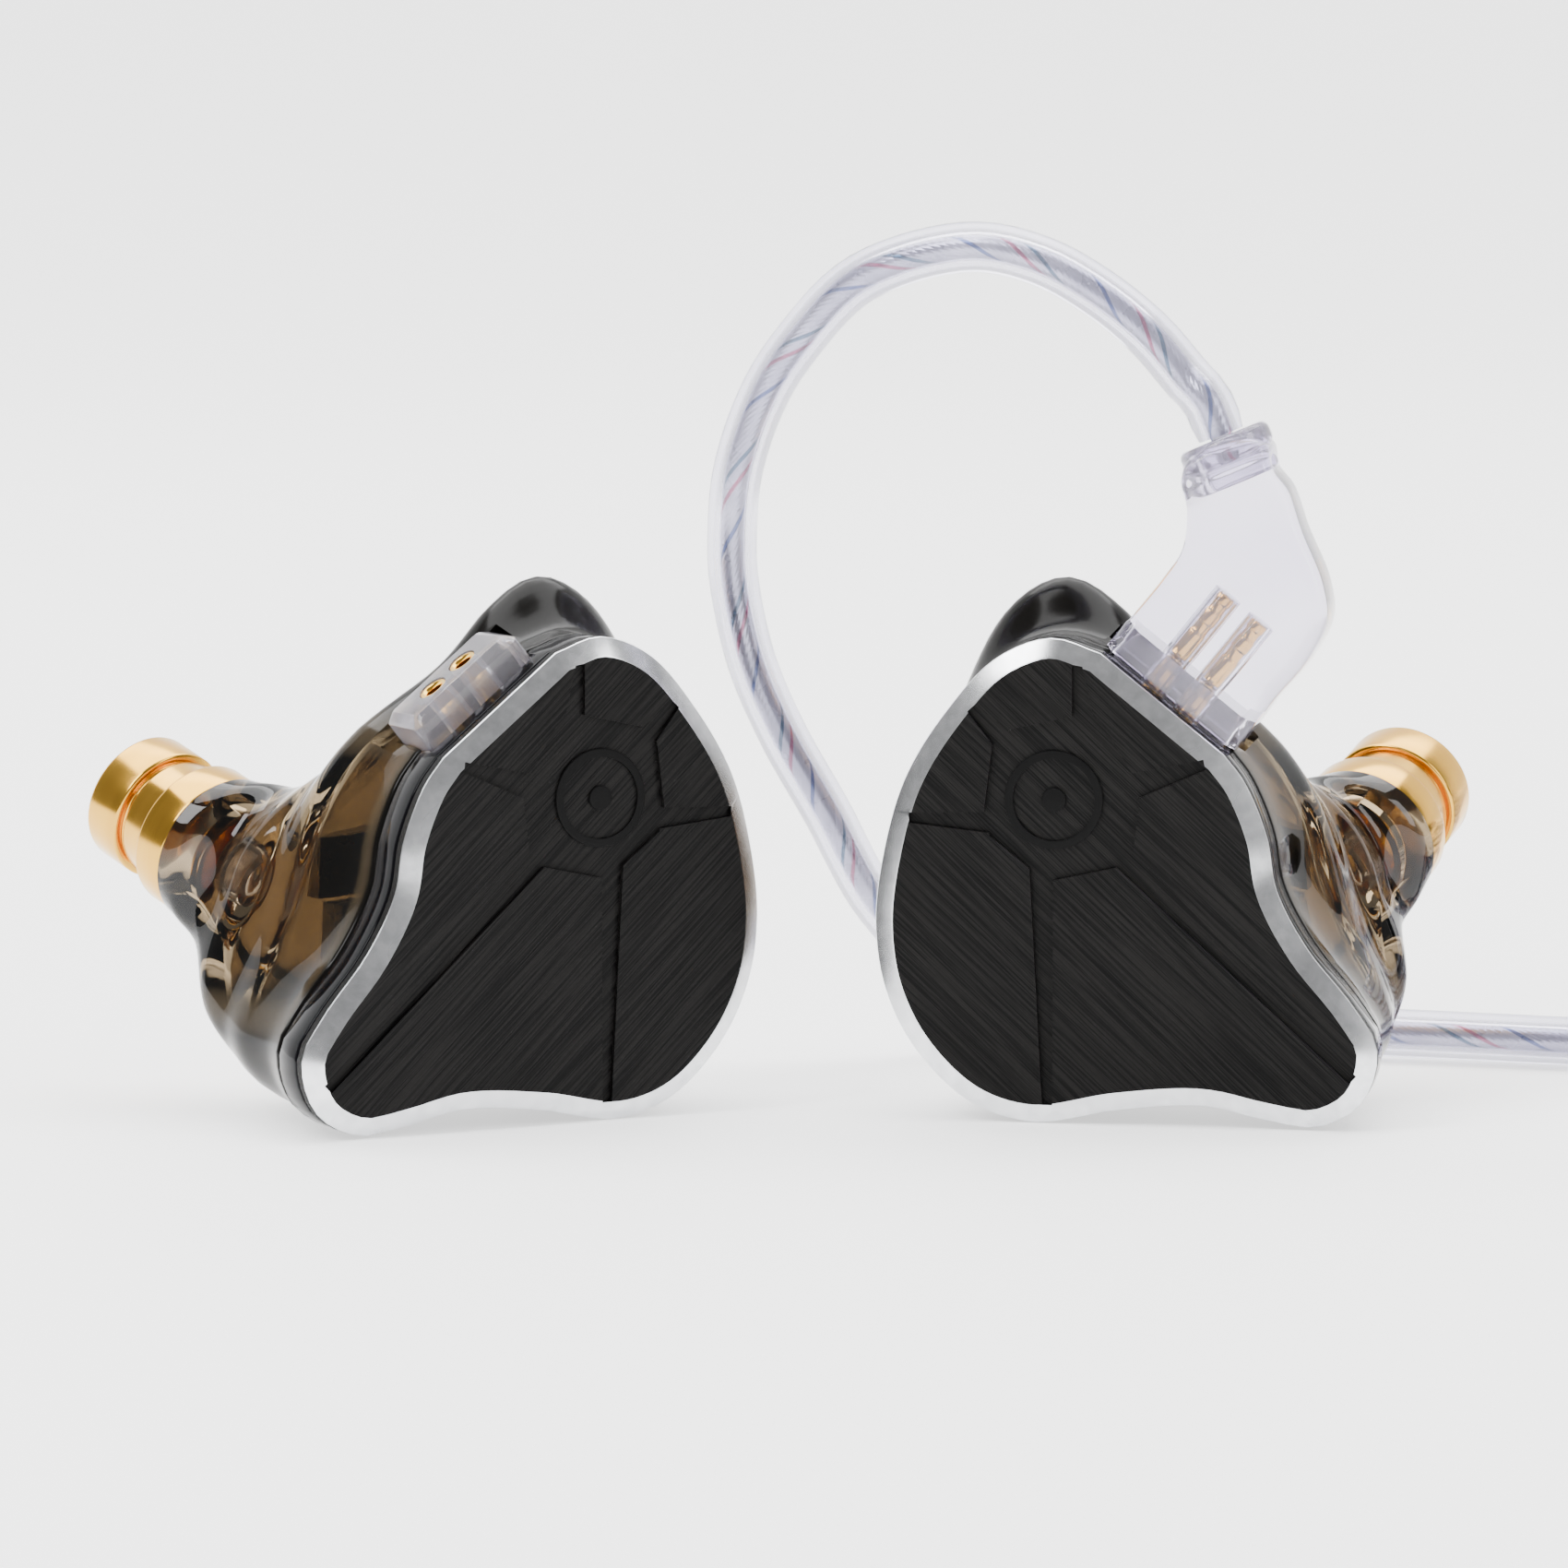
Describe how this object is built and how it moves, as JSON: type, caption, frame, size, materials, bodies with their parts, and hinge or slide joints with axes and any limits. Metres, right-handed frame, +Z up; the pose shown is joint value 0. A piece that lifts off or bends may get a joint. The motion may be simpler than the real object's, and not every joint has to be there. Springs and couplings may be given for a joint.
{
  "type": "in ear monitors",
  "caption": "Pair of in ear monitors with smoky shells, metal faceplates and brass nozzles, and a detachable cable with ear hooks, coiled and tied.",
  "frame": {"origin": "centre of the two earpieces' footprint, on the surface that they stand on", "axes": "+X from the left earpiece to the right one as seen from the faceplates, +Y back from the faceplates, +Z up"},
  "size_m": [0.1441, 0.0601, 0.0433],
  "materials": {
    "black_metal": "brushed black anodised with bright chamfer",
    "black_gloss": "gloss",
    "smoke_shell": "polished smoky transparent resin",
    "brass": "fine turned, satin",
    "gold_contact": "gold plated",
    "clear_plastic": "clear",
    "frosted_plastic": "translucent satin",
    "clear_sleeve": "clear soft sleeve",
    "cable_skin": "clear skin over silver strands",
    "steel": "satin",
    "copper": "satin",
    "film": "satin film",
    "board_green": "solder mask",
    "black_rubber": "matte"
  },
  "bodies": {
    "earpiece_right": {"faceplate_right": "black_metal", "shell_rim_right": "black_gloss", "shell_body_right": "smoke_shell", "nozzle_right": "brass", "nozzle_mesh_right": "steel", "socket_block_right": "clear_plastic", "socket_a_right": "gold_contact", "socket_b_right": "gold_contact", "driver_frame_right": "steel", "driver_magnet_right": "copper", "driver_diaphragm_right": "film", "armature_a_right": "steel", "armature_b_right": "steel", "crossover_board_right": "board_green", "sound_tube_right": "clear_plastic"},
    "earpiece_left": {"faceplate_left": "black_metal", "shell_rim_left": "black_gloss", "shell_body_left": "smoke_shell", "nozzle_left": "brass", "nozzle_mesh_left": "steel", "socket_block_left": "clear_plastic", "socket_a_left": "gold_contact", "socket_b_left": "gold_contact", "driver_frame_left": "steel", "driver_magnet_left": "copper", "driver_diaphragm_left": "film", "armature_a_left": "steel", "armature_b_left": "steel", "crossover_board_left": "board_green", "sound_tube_left": "clear_plastic"},
    "cable": {"plug_housing_right": "frosted_plastic", "plug_pin_a_right": "gold_contact", "plug_pin_b_right": "gold_contact", "plug_housing_left": "frosted_plastic", "plug_pin_a_left": "gold_contact", "plug_pin_b_left": "gold_contact", "ear_hook_right": "clear_sleeve", "ear_hook_left": "clear_sleeve", "cable_right": "cable_skin", "cable_left": "cable_skin", "branch_tail_right": "cable_skin", "branch_tail_left": "cable_skin", "y_split": "frosted_plastic", "main_head": "cable_skin", "cable_coil": "cable_skin", "coil_tie": "black_rubber", "main_end": "cable_skin", "jack_boot": "black_rubber", "jack_barrel": "black_metal", "jack_sleeve": "gold_contact", "jack_insulator_a": "black_rubber", "jack_ring": "gold_contact", "jack_insulator_b": "black_rubber", "jack_tip": "gold_contact"}
  },
  "joints": [
    {"name": "cable_pull", "type": "slide", "parent": "earpiece_right", "child": "cable", "axis": [0.6132, -0.1192, 0.7809], "range_m": [0, 0.005]},
    {"name": "left_lift", "type": "slide", "parent": "earpiece_right", "child": "earpiece_left", "axis": [0, 0, 1], "range_m": [0, 0.03]}
  ]
}
